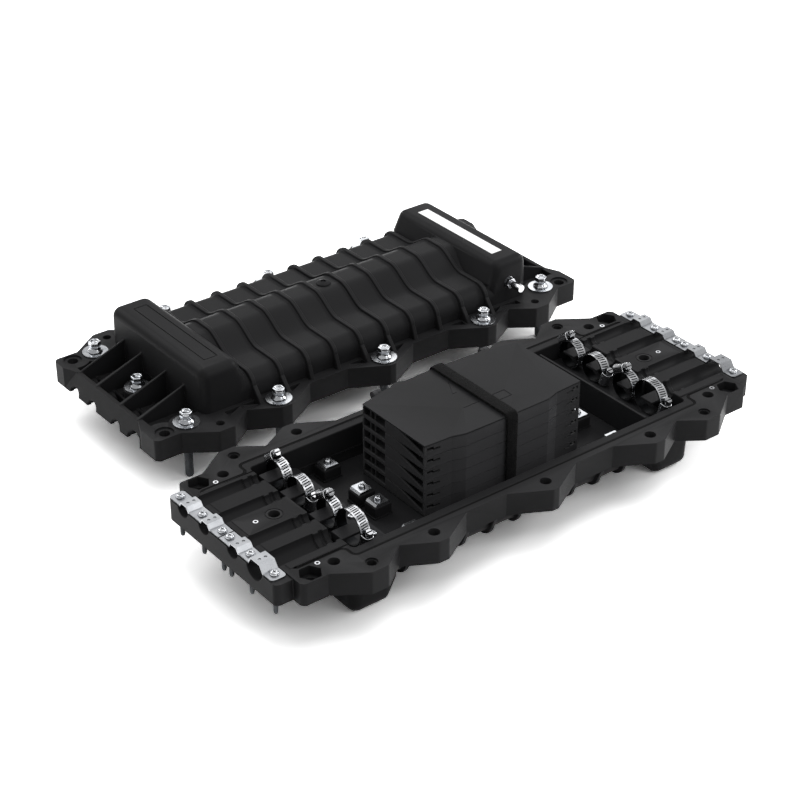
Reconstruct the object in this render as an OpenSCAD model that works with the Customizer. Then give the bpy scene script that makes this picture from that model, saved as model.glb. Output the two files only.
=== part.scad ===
// Inline splice closure: a ribbed base and cover that bolt together round a stack of splice trays.
// The cover is off and stands behind the base on its own bolts.
// X runs along the closure, Y across it towards the cover, Z up from the table.
// Inside a half, Z = 0 is the parting face where the two flanges meet.

/* [Shells] */
// Half the length of a flange
flange_x = 237; // [233:1:242]
// Half the width of a flange between its bolt lobes
flange_y = 87; // [85:0.5:89]
// Height of a flange
flange_h = 20.5; // [18.5:0.5:24]
// Reach of the bolt lobes from the middle line
lobe_y = 105.5; // [104:0.5:110]
// Height of the end humps above the flange
hump_h = 42; // [40:1:46]
// Height of the ribbed dome's crest above the flange
crest_h = 37.5; // [34:0.5:39]
// Height of the dome's shoulders above the flange
shoulder_h = 22; // [20:0.5:25]
// Half the width of the dome where it meets the flange
dome_y = 76.5; // [75:0.5:78]
// Wall of the dome
wall = 3.2; // [2.4:0.2:3.8]
// Height that the ribs stand out from the dome
rib_h = 2.6; // [1.8:0.2:3.4]
// Thickness of a rib
rib_t = 4.2; // [2.4:0.2:4.8]
// Distance from rib to rib
rib_pitch = 29.1; // [28:0.1:29.4]
// Number of ribs over the dome
rib_count = 10; // [6:2:10]

/* [Bolts] */
// Corner hanger holes, from the middle along X
hanger_x = 222.8; // [221:0.2:224]
// Corner hanger holes, from the middle along Y
hanger_y = 77.2; // [76:0.2:78]
// End bolts, along X
end_bolt_x = 200; // [198:0.5:202]
// End bolts, along Y
end_bolt_y = 76.1; // [75:0.1:77]
// Guide holes, along X
guide_x = 177.5; // [176:0.5:180]
// Guide holes, along Y
guide_y = 94; // [93:0.5:95]
// Side bolts, along X
side_bolt_x = 115.6; // [113:0.2:118]
// Side bolts, along Y
side_bolt_y = 92.4; // [91.4:0.2:94]
// Radius of a bolt hole
hole_r = 5; // [4.6:0.1:5.4]
// Radius of a guide hole
guide_r = 4; // [3.4:0.1:4.4]
// Radius of a bolt shank
shank_r = 4; // [3.4:0.1:4.2]
// Length of shank that stands out under the cover's flange
shank_out = 33; // [28:1:38]

/* [Ports] */
// Radius of the small cable ports
port_r = 7; // [6:0.25:7.5]
// Radius of the large cable port at the front of each end
big_port_r = 10; // [8.5:0.25:10.5]
// Distance of the middle of the ports behind the middle line
port_mid_y = 3.5; // [2:0.5:4]
// Distance of the inner ports from the middle of the ports
inner_port_y = 20; // [19:0.5:21]
// Distance of the outer ports from the middle of the ports
outer_port_y = 50; // [49.5:0.5:51]
// Rise of the end land above the parting face
land_rise = 0.4; // [0.2:0.1:0.8]
// Drop of the saddle block's top below the parting face
block_drop = 1; // [0.6:0.1:1.6]
// Rise of a small cable arch above its saddle
arch_rise = 3.7; // [3:0.1:4.5]
// Rise of the large cable arch above its saddle
big_arch_rise = 6; // [5:0.1:7]
// Length of the block outside the flange that carries the cable saddles
block_l = 16; // [14:0.5:20]
// Thickness of a steel saddle
saddle_t = 1.2; // [0.8:0.1:1.6]

/* [Inside] */
// Half the length of the cavity
cavity_x = 178; // [176:0.5:179]
// Half the width of the cavity
cavity_y = 71; // [69:0.5:72]
// Depth of the mounting plate below the parting face
plate_down = 29; // [27:0.5:31]
// Half the length of the mounting plate
plate_x = 132.5; // [130:0.5:134]
// Radius of the three smaller hose clamps, outside
clamp_r = 13.2; // [12.6:0.2:13.4]
// Radius of the hose clamp on the large port, outside
big_clamp_r = 16.4; // [15.6:0.2:16.6]
// Width of a hose clamp's band
band_w = 9; // [7:0.5:10]

/* [Trays] */
// Half the length of a splice tray
tray_x = 83; // [80:0.5:84]
// Reach of a tray towards the front
tray_front = 44.5; // [42:0.5:46]
// Distance from tray to tray
tray_pitch = 11; // [10:0.25:12]
// Number of trays in the stack
tray_count = 6; // [6:1:6]
// Thickness of the lid on the top tray
lid_t = 1.6; // [1.2:0.1:2]
// Distance of the tray hinge line behind the middle
hinge_y = 57; // [56:0.5:58]
// Width of the hook and loop strap
strap_w = 11; // [9:0.5:14]

/* [Hidden] */
$fn = 48;

// Overrun of every cut past the face that it opens
cut = 1;
// Running clearance between pieces that move or slide over each other
gap = 0.3;

// Where the two halves stand: the cover lies this far from the base
cover_shift_x = 26.7;
cover_shift_y = 249.4;
reach_x = flange_x + block_l;
origin_x = (cover_shift_x + flange_x - reach_x) / 2;
base_at = [-origin_x, -cover_shift_y / 2, flange_h + hump_h];
cover_at = [cover_shift_x - origin_x, cover_shift_y / 2, shank_out];

// Outline of a flange
lobe_round = 4;
lobe_flat = 5;
mid_flat = 3;
lobe_run = 37;
valley_x = 148;
valley_y = 90;
guide_run = 35;
corner_cut = 3;
guide_flat = 8;

// Dome profile, height over distance from the middle line
crest_flat = 7;
crest_foot = 42;
shoulder_r = 14;
profile_steps = 12;
rib_foot = 13;
rib_reaches = [13.5, 7.5, 7.5, 13.5, 13.5];

// End humps
hump_out = 182.5;
hump_in = 136;
hump_top_out = 178;
hump_top_in = 151;
hump_round = 9;
hump_top_y = 76;
hump_knee = 22;
hump_wall = 4;
mark_x = 161;
mark_l = 116;
mark_w = 14;
mark_line = 0.8;
mark_deep = 0.5;

// Pockets in the flange
rim = 6;
pocket_floor = 4;
pocket_x = 183;
pocket_y = 66;
web_t = 2.4;
web_rise = 18;
cross_xs = [196, 212];
cross_t = 2.4;
cross_h = 11;
boss_r = 12.5;
end_drop = 2.5;
barrel_wall = 3.5;
tri_deep = 4;
tri_in = 81;
tri_top = 89;
tri_from = 17.5;
tri_to = 31;
guide_tri = [148, 165];
end_lean = 6;
lid_mark_w = 0.7;
lid_mark_deep = 0.4;
lid_marks = [
    [[9, -11], [23, -11], [23, -21], [9, -21], [9, -11]],
    [[-5.5, 27], [-14.6, 10], [-10.8, 10]],
    [[-21.7, -12.8], [-5.5, -12.6]]
];
lean_ys = [-62, 70];
lean_fade = 14;
pocket_end = 227;

// Land, grooves and blocks at the ends of the base
land_x = 232;
land_y = 64.5;
land_fit = 0.4;
neck_x = 192;
neck_drop = 1.6;
neck_rib = 1.8;
block_y = 75.5;
block_mid_y = 0.5;
block_h = 19;
block_round = 5;
saddle_w = 14;
saddle_end = 72.5;
saddle_split = 0.6;
saddle_round = 3.5;
arch_half = 6.5;
big_arch_half = 10;
arch_share = 0.6;
dimple_r = 1.3;
dimple_deep = 0.5;
saddle_screw_ys = [5.2, 33.5, 65.5];
screw_hole_r = 2.3;
screw_r = 2.1;
screw_head_r = 3.8;
screw_head_h = 2.6;
screw_slot_r = 1.4;
screw_slot_deep = 1.4;
screw_drop = 37;

// Seal
groove_w = 2.4;
groove_deep = 2.4;
seal_w = 2;
seal_h = 2;
seal_y = 80;
seal_x = 183;
seal_end_x = 230;
seal_end_y = 66.2;
seal_round = 5;

// Hex recess round a hanger hole, and the ring marks round the bolt holes
hex_af = 17;
hex_deep = 8;
guide_sink_r = 5.3;
guide_sink = 1.5;
ring_w = 0.8;
ring_deep = 0.5;
land_ring_r = 7.5;
hex_mark_r = 8.4;
hex_mark_deep = 1.5;
insert_r = 2.2;
insert_bore = 1.2;
insert_h = 5;
insert_at = [211, 70];
land_insert_x = 217.5;

// Posts that carry the mounting plate and the clamp brackets
post_r = 4;
plate_t = 1.6;
plate_y = 68;
plate_posts = [[118, 58], [44, 58]];
bracket_posts = [[145, 58], [168, 58]];
ledge = 1;

// Clamp bracket: shelf, upturned wall and four tongues
shelf_down = 17;
shelf_t = 2;
wall_top_down = 2;
bracket_wall = 2.2;
tongue_out = 176;
tongue_in = 155;
tongue_w = 14;
tongue_t = 2.4;
tongue_down = 2.5;
tongue_post = 5;
bracket_screw_x = 140;
bracket_screw_r = 3;
bracket_screw_h = 2.2;

// Hose clamps: centre of the bands along X, band thickness, and the worm housing
clamp_x = 160;
band_t = 0.9;
clamp_seat = 0.2;
housing_l = 13;
housing_h = 6;
worm_r = 2.4;
worm_head_r = 3.2;
worm_head_l = 5;
worm_slot = 1;
housing_angles = [50, 200, 60, 195];

// Anchor blocks on the mounting plate
anchor_x = 108.5;
anchor_ys = [-58, -11, 11, 58];
anchor_l = 19;
anchor_w = 15.5;
anchor_h = 11.5;
anchor_cut = 1.4;
anchor_base_h = 1.6;
anchor_lip = 1;
anchor_plate_h = 1.8;
anchor_plate_l = 12;
anchor_plate_w = 13;
anchor_fold = 1.6;

// Tray stack
carrier_t = 0.8;
tray_gap = 0.4;
tray_floor = 1.3;
tray_wall = 1.6;
tray_corner_y = 39;
tray_step_in = 44;
tray_step_out = 56;
tray_step = 4;
tray_back = 52.5;
tray_back_y = 50.5;
tray_back_x = 50;
tray_end_back = 43;
drum_r = 30;
drum_x = 51;
drum_y = 2;
drum_wall = 1.4;
end_low = 3.4;
end_slope_top = -5;
end_slope_foot = -37;
end_open = 13;
slot_l = 13;
slot_h = 3.6;
slot_in = 2.5;
pin_r = 0.9;
pin_ys = [29, 35];
pin_in = 3;
knuckle_r = 3.8;
knuckle_x = 60;
knuckle_l = 4.4;
arm_l = 3.4;
pin_bore = 1.5;
hinge_fit = 0.08;
ear_in = 43;
holder_l = 36;
holder_w = 22;
holder_h = 6;
holder_slots = 6;
holder_slot_w = 2;
strap_t = 1.2;
strap_x = 2;
strap_fit = 0.3;

// Cover fasteners
washer_r = 11.8;
washer_t = 1.6;
collar_h = 4.4;
collar_r = 6.8;
collar_top_r = 5;
head_af = 10;
head_h = 6;
socket_r = 2.8;
socket_deep = 4;
tip_h = 2;

// Air valve, dome plug and label
valve_x = 160;
valve_h = 19;
valve_r = 3;
valve_l = 20;
valve_collar_r = 5.6;
valve_collar_l = 3;
valve_nut_af = 9;
valve_nut_l = 4;
valve_cap_r = 3.6;
valve_cap_l = 8;
valve_seat = 73;
plug_r = 6.8;
plug_h = 3;
plug_hex = 5;
plug_hex_deep = 1.6;
plug_stem_r = 3.4;
label_t = 0.3;
label_l = 112;
label_w = 12;

plastic = [0.07, 0.07, 0.075];
tray_plastic = [0.16, 0.16, 0.17];
steel = [0.78, 0.79, 0.8];
rubber = [0.04, 0.04, 0.04];

// Bolt holes in X and Y; the third value lowers the seat of the bolts between the ports
bolt_places = concat(
    [for (x = [-1, 1], y = [-1, 1]) [x * side_bolt_x, y * side_bolt_y, 0]],
    [for (y = [-1, 1]) [0, y * (side_bolt_y - ring_w), 0]],
    [for (x = [-1, 1], y = [-1, 1]) [x * end_bolt_x, y * end_bolt_y, 0]],
    [for (x = [-1, 1]) [x * end_bolt_x, port_mid_y, end_drop]]);
hanger_places = [for (x = [-1, 1], y = [-1, 1]) [x * hanger_x, y * hanger_y]];
guide_places = [for (x = [-1, 1], y = [-1, 1]) [x * guide_x, y * guide_y]];
port_ys = [for (y = [outer_port_y, inner_port_y, -inner_port_y, -outer_port_y]) port_mid_y + y];
port_rs = [port_r, port_r, port_r, big_port_r];
clamp_rs = [clamp_r, clamp_r, clamp_r, big_clamp_r];
shelf_z = -shelf_down;
tray_z = -plate_down + carrier_t;
stack_z = tray_z + tray_count * tray_pitch;
tray_h = tray_pitch - tray_gap;

// One quarter of the flange outline, from the middle lobe round to the end
quarter = [
    [mid_flat, lobe_y],
    [lobe_run, flange_y],
    [side_bolt_x - lobe_run, flange_y],
    [side_bolt_x - lobe_flat, lobe_y],
    [side_bolt_x + lobe_flat, lobe_y],
    [valley_x, valley_y],
    [guide_x - guide_flat, lobe_y],
    [guide_x + guide_flat, lobe_y],
    [guide_x + guide_run, flange_y],
    [flange_x - corner_cut, flange_y],
    [flange_x, flange_y - corner_cut]];

function flipped(list) = [for (i = [len(list) - 1 : -1 : 0]) list[i]];
function turned(list, sx, sy) = [for (p = list) [sx * p[0], sy * p[1]]];

module at_base() {
    translate(base_at) children();
}

// The saddles lie about the middle of the ports
module at_saddles() {
    at_base() translate([0, port_mid_y, 0]) children();
}

module at_cover() {
    translate(cover_at) children();
}

// Copies children to both ends of a half
module both_ends() {
    children();
    mirror([1, 0, 0]) children();
}

module flange_outline() {
    offset(r = lobe_round) offset(delta = -lobe_round)
        polygon(concat(quarter, flipped(turned(quarter, 1, -1)),
            turned(quarter, -1, -1), flipped(turned(quarter, -1, 1))));
}

// Points of the dome's section: a cosine crest, a flat shoulder and a round down to the flange
function crest_points(grow, top, low) = [for (i = [0 : profile_steps])
    let (y = crest_flat + (crest_foot - crest_flat) * i / profile_steps)
    [y, low + grow + (top - low) * (1 + cos(180 * i / profile_steps)) / 2]];
function shoulder_points(grow, half, low) = [for (i = [0 : profile_steps])
    [half + grow - shoulder_r * (1 - sin(90 * i / profile_steps)),
     low + grow - shoulder_r * (1 - cos(90 * i / profile_steps))]];
function dome_side(grow, half, top, low) = concat(
    crest_points(grow, top, low), shoulder_points(grow, half, low), [[half + grow, -cut]]);
function dome_section(grow, half, top, low) = concat(
    dome_side(grow, half, top, low), flipped(turned(dome_side(grow, half, top, low), -1, 1)));

// A section in Y and Z carried along X, centred
module along_x(length) {
    rotate([90, 0, 90]) linear_extrude(length, center = true) children();
}

// A rod along X, centred
module rod_x(r, length) {
    rotate([0, 90, 0]) cylinder(r = r, h = length, center = true);
}

module rounded_box(size, r) {
    translate([0, 0, size[2] / 2]) linear_extrude(size[2], center = true)
        offset(r = r) square([size[0] - 2 * r, size[1] - 2 * r], center = true);
}

module rib_section(reach) {
    polygon(dome_section(rib_h, dome_y, crest_h, shoulder_h));
    polygon([
        [-dome_y - reach, 0], [-dome_y - rib_h, rib_foot],
        [dome_y + rib_h, rib_foot], [dome_y + reach, 0]]);
}

// The ribbed dome, above the flange's outer face
module dome() {
    along_x(2 * hump_top_in) polygon(dome_section(0, dome_y, crest_h, shoulder_h));
    for (i = [0 : rib_count - 1]) {
        steps = i - (rib_count - 1) / 2;
        translate([steps * rib_pitch, 0, 0]) along_x(rib_t) rib_section(rib_reaches[floor(abs(steps))]);
    }
}

module dome_inside() {
    along_x(2 * (hump_in + hump_round + wall))
        polygon(dome_section(0, cavity_y - ledge, crest_h - wall, shoulder_h - wall));
}

// One end hump: upright to the dome's shoulder, then leaning in to its flat top
module hump() {
    hull() {
        for (x = [hump_in + hump_round, hump_out - hump_round], y = [-1, 1])
            translate([x, y * (dome_y - hump_round), -cut])
                cylinder(r = hump_round, h = hump_knee + cut, $fn = 32);
        for (x = [hump_top_in, hump_out - hump_round], y = [-1, 1])
            translate([x, y * (hump_top_y - hump_round), hump_h - hump_round])
                sphere(r = hump_round, $fn = 32);
    }
}

module hump_inside() {
    hull() {
        for (x = [hump_in + hump_round + hump_wall, cavity_x - hump_round], y = [-1, 1])
            translate([x, y * (cavity_y - ledge - hump_round), -cut])
                cylinder(r = hump_round, h = hump_knee - hump_wall / 2, $fn = 16);
        translate([hump_top_in + hump_wall, 2 * hump_wall - hump_top_y, 0])
            cube([hump_top_out - hump_top_in - 2 * hump_wall,
                  2 * (hump_top_y - 2 * hump_wall), hump_h - hump_wall]);
    }
}

module flange_holes() {
    for (p = concat(bolt_places, hanger_places))
        translate([p[0], p[1], -2 * flange_h]) cylinder(r = hole_r, h = 4 * flange_h);
    for (p = guide_places)
        translate([p[0], p[1], -2 * flange_h]) cylinder(r = guide_r, h = 4 * flange_h);
}

// Three-cornered pockets beside the bolt and guide lobes
module lobe_pockets() {
    for (x = [-1, 1], y = [-1, 1]) translate([0, 0, flange_h - tri_deep]) {
        for (s = [-1, 1]) lobe_pocket(x * side_bolt_x, x * s, y);
        lobe_pocket(0, x, y);
        linear_extrude(tri_deep + cut) polygon([
            [x * guide_tri[0], y * tri_in], [x * guide_tri[1], y * tri_in], [x * guide_tri[1], y * tri_top]]);
    }
}

module lobe_pocket(x, sx, sy) {
    linear_extrude(tri_deep + cut) polygon([
        [x + sx * tri_from, sy * tri_in], [x + sx * tri_to, sy * tri_in], [x + sx * tri_from, sy * tri_top]]);
}

// Open pockets at one end of the flange, round the bolt and hanger bosses
module end_pocket() {
    translate([end_bolt_x, port_mid_y, flange_h - end_drop]) cylinder(r = boss_r, h = flange_h);
    translate([0, 0, pocket_floor]) linear_extrude(flange_h)
        difference() {
            translate([pocket_x, -pocket_y]) square([pocket_end - pocket_x, 2 * pocket_y]);
            translate([end_bolt_x, port_mid_y]) circle(boss_r);
            for (y = [-1, 1]) {
                translate([end_bolt_x, y * end_bolt_y]) circle(boss_r + rim / 2);
                translate([hanger_x, y * hanger_y]) circle(boss_r + rim / 2);
            }
        }
}

// Half barrels over the cable grooves, with a web on the crest of each and two cross ribs
module end_ribs() {
    for (i = [0 : 3]) {
        intersection() {
            translate([(pocket_x + flange_x - rim) / 2, port_ys[i], 0])
                rod_x(port_rs[i] + barrel_wall, flange_x - pocket_x);
            translate([pocket_x - rim / 2, -flange_y, 0]) cube([flange_x - pocket_x, 2 * flange_y, flange_h]);
        }
        translate([0, port_ys[i] + web_t / 2, 0]) rotate([90, 0, 0]) linear_extrude(web_t) polygon([
            [hump_out - rim, 0], [hump_out - rim, flange_h + web_rise],
            [hump_out, flange_h + web_rise], [flange_x - rim, flange_h], [flange_x - rim, 0]]);
    }
    for (x = cross_xs)
        translate([x, -pocket_y, 0]) cube([cross_t, 2 * pocket_y, cross_h]);
}

// What both halves share, from the parting face outwards; the holes come later
module half_solid() {
    difference() {
        linear_extrude(flange_h) flange_outline();
        both_ends() end_pocket();
        lobe_pockets();
    }
    both_ends() end_ribs();
    translate([0, 0, flange_h]) {
        dome();
        both_ends() hump();
    }
}

module half_inside() {
    translate([0, 0, -cut]) linear_extrude(flange_h + 2 * cut)
        offset(r = lobe_round) square(
            [2 * (cavity_x - lobe_round), 2 * (cavity_y - lobe_round)], center = true);
    translate([0, 0, flange_h]) {
        dome_inside();
        both_ends() hump_inside();
    }
}

// Cable grooves of one end, from the cavity out through the end wall
module port_channels() {
    for (i = [0 : 3]) {
        translate([(neck_x + reach_x) / 2 + cut, port_ys[i], 0])
            rod_x(port_rs[i], reach_x - neck_x + 2 * cut);
        translate([neck_x, port_ys[i], 0]) rod_x(port_rs[i] - neck_drop, 2 * (neck_x - cavity_x) + 2 * cut);
        translate([(neck_x + cavity_x) / 2, port_ys[i], 0]) rod_x(port_rs[i], neck_rib * 2);
    }
}

// The block outside one end wall that carries the saddles, thicker under each port
module saddle_block() {
    translate([flange_x - cut, 0, 0]) intersection() {
        union() {
            translate([(block_l + cut) / 2 - block_round, block_mid_y, -block_drop - block_h])
                rounded_box([block_l + cut + 2 * block_round, 2 * block_y, block_h], block_round);
            for (i = [0 : 3])
                translate([(block_l + cut) / 2, port_ys[i], 0])
                    rod_x(port_rs[i] + barrel_wall + 1, block_l + cut);
        }
        translate([0, block_mid_y - block_y, -2 * block_h])
            cube([block_l + cut, 2 * block_y, 2 * block_h - block_drop]);
    }
}

module end_land() {
    translate([cavity_x, -land_y, -pocket_floor])
        cube([land_x - cavity_x, 2 * land_y, land_rise + pocket_floor]);
}

// Line of the seal: along both sides and round the ports' land to the end wall
module seal_line(width, high) {
    translate([0, 0, -high]) linear_extrude(high + cut) difference() {
        seal_shape(width / 2);
        seal_shape(-width / 2);
        both_ends() translate([seal_end_x - seal_round, -land_y]) square([reach_x, 2 * land_y]);
    }
}

module seal_shape(grow) {
    offset(r = grow) offset(r = -seal_round) offset(r = 2 * seal_round) offset(r = -seal_round) union() {
        square([2 * seal_end_x, 2 * seal_end_y], center = true);
        square([2 * seal_x, 2 * seal_y], center = true);
    }
}

module base_shell() {
    color(plastic) at_base() difference() {
        union() {
            mirror([0, 0, 1]) half_solid();
            both_ends() {
                end_land();
                saddle_block();
            }
        }
        difference() {
            mirror([0, 0, 1]) half_inside();
            for (p = plate_posts, x = [-1, 1], y = [-1, 1])
                translate([x * p[0], y * p[1], -flange_h - hump_h])
                    cylinder(r = post_r, h = flange_h + hump_h - plate_down - plate_t);
            for (p = bracket_posts, x = [-1, 1], y = [-1, 1])
                translate([x * p[0], y * p[1], -flange_h - hump_h])
                    cylinder(r = post_r, h = flange_h + hump_h + shelf_z - shelf_t);
        }
        both_ends() port_channels();
        flange_holes();
        for (p = hanger_places)
            translate([p[0], p[1], -hex_deep])
                cylinder(d = hex_af * 2 / sqrt(3), h = hex_deep + cut, $fn = 6);
        for (p = guide_places)
            translate([p[0], p[1], -guide_sink]) cylinder(r = guide_sink_r, h = guide_sink + cut);
        for (x = [-1, 1])
            translate([x * end_bolt_x, port_mid_y, land_rise - ring_deep]) ring_mark(land_ring_r);
        seal_line(groove_w, groove_deep);
        both_ends() for (y = saddle_screw_ys, s = [-1, 1])
            translate([flange_x + block_l / 2, port_mid_y + s * y, -2 * block_h])
                cylinder(r = screw_hole_r, h = 3 * block_h);
        insert_holes(insert_r);
    }
}

module ring_mark(r) {
    difference() {
        cylinder(r = r, h = ring_deep + cut);
        cylinder(r = r - ring_w, h = ring_deep + cut);
    }
}

module insert_holes(r) {
    for (x = [-1, 1], y = [-1, 1])
        translate([x * insert_at[0], y * insert_at[1], -insert_h]) cylinder(r = r, h = insert_h + cut);
    for (x = [-1, 1])
        translate([x * land_insert_x, port_mid_y, land_rise - insert_h]) cylinder(r = r, h = insert_h + cut);
}

module threaded_inserts() {
    color(steel) at_base() for (side = [-1, 1]) {
        for (y = [-1, 1])
            translate([side * insert_at[0], y * insert_at[1], -insert_h]) insert();
        translate([side * land_insert_x, port_mid_y, land_rise - insert_h]) insert();
    }
}

module insert() {
    difference() {
        cylinder(r = insert_r, h = insert_h);
        translate([0, 0, insert_h / 2]) cylinder(r = insert_bore, h = insert_h);
    }
}

module seal_gasket() {
    color(rubber) at_base() difference() {
        translate([0, 0, seal_h - groove_deep]) seal_line(seal_w, seal_h);
        translate([-reach_x, -reach_x, seal_h - groove_deep]) cube([2 * reach_x, 2 * reach_x, flange_h]);
        both_ends() {
            port_channels();
            translate([cavity_x, -land_y, -flange_h]) cube([land_x - cavity_x, 2 * land_y, 2 * flange_h]);
        }
    }
}

module mounting_plate() {
    color(plastic) at_base() translate([0, 0, -plate_down - plate_t])
        rounded_box([2 * plate_x, 2 * plate_y, plate_t], lobe_round);
}

// Shelf, wall and tongues that hold the cables and their hose clamps at one end
module clamp_bracket(top_down) {
    difference() {
        union() {
            translate([(cavity_x + plate_x) / 2, 0, shelf_z - shelf_t])
                rounded_box([cavity_x - plate_x - 2 * gap, 2 * (cavity_y - gap), shelf_t], lobe_round);
            translate([plate_x + gap, -plate_y, -plate_down - plate_t])
                cube([bracket_wall, 2 * plate_y, plate_down + plate_t - top_down]);
            for (y = port_ys) {
                translate([tongue_in, y - tongue_w / 2, -tongue_down - tongue_t])
                    cube([tongue_out - tongue_in, tongue_w, tongue_t]);
                translate([tongue_out - tongue_post, y - tongue_w / 2, shelf_z - shelf_t])
                    cube([tongue_post, tongue_w, shelf_down + shelf_t - tongue_down]);
            }
        }
        bracket_screw_holes();
    }
}

module bracket_screw_holes() {
    for (y = port_ys)
        translate([bracket_screw_x, y, shelf_z - shelf_t - cut])
            cylinder(r = screw_hole_r, h = shelf_t + 2 * cut);
}

module bracket_screws() {
    for (y = port_ys) {
        translate([bracket_screw_x, y, shelf_z]) pan_head(bracket_screw_r, bracket_screw_h);
        translate([bracket_screw_x, y, shelf_z - shelf_t - cut]) cylinder(r = screw_r, h = shelf_t + 2 * cut);
    }
}

// A low domed screw head with a cross recess, standing on Z = 0
module pan_head(r, h) {
    difference() {
        intersection() {
            cylinder(r = r, h = h);
            translate([0, 0, h - 2 * r]) sphere(r = 2 * r);
        }
        for (turn = [0, 90])
            rotate([0, 0, turn]) translate([-screw_slot_r, -screw_slot_r / 4, h - screw_slot_deep])
                cube([2 * screw_slot_r, screw_slot_r / 2, screw_slot_deep + cut]);
    }
}

// Points of a flat-topped arch, given as its middle, half width and rise; it stands on a line at low
function arch_points(a, grow, low) = [for (p = [[-1, 0], [-arch_share, 1], [arch_share, 1], [1, 0]])
    [a[0] + p[0] * (a[1] + grow), low + p[1] * a[2]]];

// A steel saddle over two ports, from the outer port in to the middle
module saddle(outer_half, outer_rise) {
    mid_x = flange_x + block_l / 2;
    arches = [[inner_port_y, arch_half, arch_rise], [outer_port_y, outer_half, outer_rise]];
    translate([0, 0, -block_drop]) difference() {
        intersection() {
            translate([mid_x, 0, 0]) along_x(saddle_w) polygon(concat(
                [[saddle_split, 0], [saddle_split, saddle_t]],
                [for (a = arches) each arch_points(a, saddle_t / 2, saddle_t)],
                [[saddle_end, saddle_t], [saddle_end, 0]],
                flipped([for (a = arches) each arch_points(a, -saddle_t / 2, 0)])));
            translate([mid_x, 0, -cut]) rounded_box([saddle_w, 2 * saddle_end, block_h], saddle_round);
        }
        for (y = saddle_screw_ys) translate([mid_x, y, -cut]) cylinder(r = screw_hole_r, h = block_h);
        for (a = arches, x = [-1, 1])
            translate([mid_x + x * saddle_w / 5, a[0], a[2] + saddle_t - dimple_deep])
                cylinder(r = dimple_r, h = block_h);
    }
}

module saddle_screws() {
    for (y = saddle_screw_ys, s = [-1, 1]) translate([flange_x + block_l / 2, s * y, saddle_t - block_drop]) {
        pan_head(screw_head_r, screw_head_h);
        translate([0, 0, -screw_drop]) cylinder(r = screw_r, h = screw_drop + cut / 2);
    }
}

// Centre height of a hose clamp that stands on the shelf
function clamp_z(r) = shelf_z + clamp_seat + r;

// One hose clamp band with the housing of its worm, the opening along X
module hose_clamp(r, angle) {
    difference() {
        union() {
            rod_x(r, band_w);
            rotate([angle, 0, 0]) translate([-band_w / 2, r - band_t, -housing_l / 2])
                cube([band_w, housing_h + band_t, housing_l]);
        }
        rod_x(r - band_t, band_w + 2 * cut);
        rotate([angle, 0, 0]) translate([0, r + housing_h / 2, 0])
            cylinder(r = worm_r, h = 3 * housing_l, center = true);
    }
}

// The worm's head points upwards on either side of the band
module worm_screw(r, angle) {
    down = angle > 90 ? 1 : 0;
    rotate([angle, 0, 0]) mirror([0, 0, down])
    translate([0, r + housing_h / 2, -housing_l / 2]) difference() {
        union() {
            cylinder(r = worm_r - hinge_fit, h = housing_l + cut);
            translate([0, 0, housing_l + clamp_seat])
                cylinder(r = worm_head_r, h = worm_head_l, $fn = 6);
        }
        translate([-worm_head_r, -worm_slot / 2, housing_l + worm_head_l / 2])
            cube([2 * worm_head_r, worm_slot, worm_head_l]);
    }
}

module clamp_place(i) {
    translate([clamp_x, port_ys[i], clamp_z(clamp_rs[i])]) children();
}

// Side view of an anchor block, its top edges bevelled
module block_side(half) {
    polygon([[-half, 0], [-half, anchor_h - anchor_cut], [anchor_cut - half, anchor_h],
        [half - anchor_cut, anchor_h], [half, anchor_h - anchor_cut], [half, 0]]);
}

module anchor_block() {
    difference() {
        union() {
            translate([0, 0, anchor_base_h / 2])
                cube([anchor_l, anchor_w, anchor_base_h], center = true);
            intersection() {
                rotate([90, 0, 0]) linear_extrude(anchor_w - anchor_lip, center = true)
                    block_side(anchor_l / 2 - anchor_lip);
                along_x(anchor_l) block_side((anchor_w - anchor_lip) / 2);
            }
        }
        translate([0, 0, anchor_base_h]) cylinder(r = screw_hole_r, h = anchor_h);
    }
}

// A bent steel plate on an anchor block
module anchor_plate() {
    translate([0, 0, anchor_h]) difference() {
        rotate([90, 0, 0]) linear_extrude(anchor_plate_w, center = true) polygon([
            [-anchor_plate_l / 2 - anchor_fold, 0], [-anchor_plate_l / 2, anchor_plate_h],
            [anchor_plate_l / 2, anchor_plate_h], [anchor_plate_l / 2 + anchor_fold, 0]]);
        translate([0, 0, -cut]) cylinder(r = screw_hole_r, h = anchor_plate_h + 2 * cut);
    }
}

module anchor_screw() {
    translate([0, 0, anchor_h + anchor_plate_h]) pan_head(screw_head_r - ring_w, screw_head_h);
    translate([0, 0, anchor_base_h + cut])
        cylinder(r = screw_r, h = anchor_h + anchor_plate_h - anchor_base_h);
}

module anchor_places() {
    for (y = anchor_ys) translate([anchor_x, y, -plate_down]) children();
}

// Outline of a splice tray without its hinge ears
function tray_side() = [
    [0, tray_front],
    [tray_step_in, tray_front - tray_gap],
    [tray_step_out, tray_front - tray_step],
    [tray_x, tray_corner_y]];
tray_rear = [[tray_x, tray_end_back], [tray_back_x, tray_back_y], [0, tray_back]];

module tray_outline() {
    polygon(concat(
        turned(tray_side(), 1, -1), tray_rear,
        flipped(turned(tray_rear, -1, 1)), flipped(turned(tray_side(), -1, -1))));
}

module both_ears() {
    for (x = [-1, 1]) translate([x * knuckle_x, 0, 0]) children();
}

// Knuckle of a tray and its arm, on the hinge line; the neighbour's pin runs in it
module hinge_knuckle(high) {
    difference() {
        union() {
            rod_x(knuckle_r, knuckle_l);
            translate([-knuckle_l / 2, ear_in - hinge_y, -high / 2])
                cube([knuckle_l, hinge_y - ear_in, knuckle_r]);
        }
        rod_x(pin_bore, knuckle_l + 2 * cut);
    }
}

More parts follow.
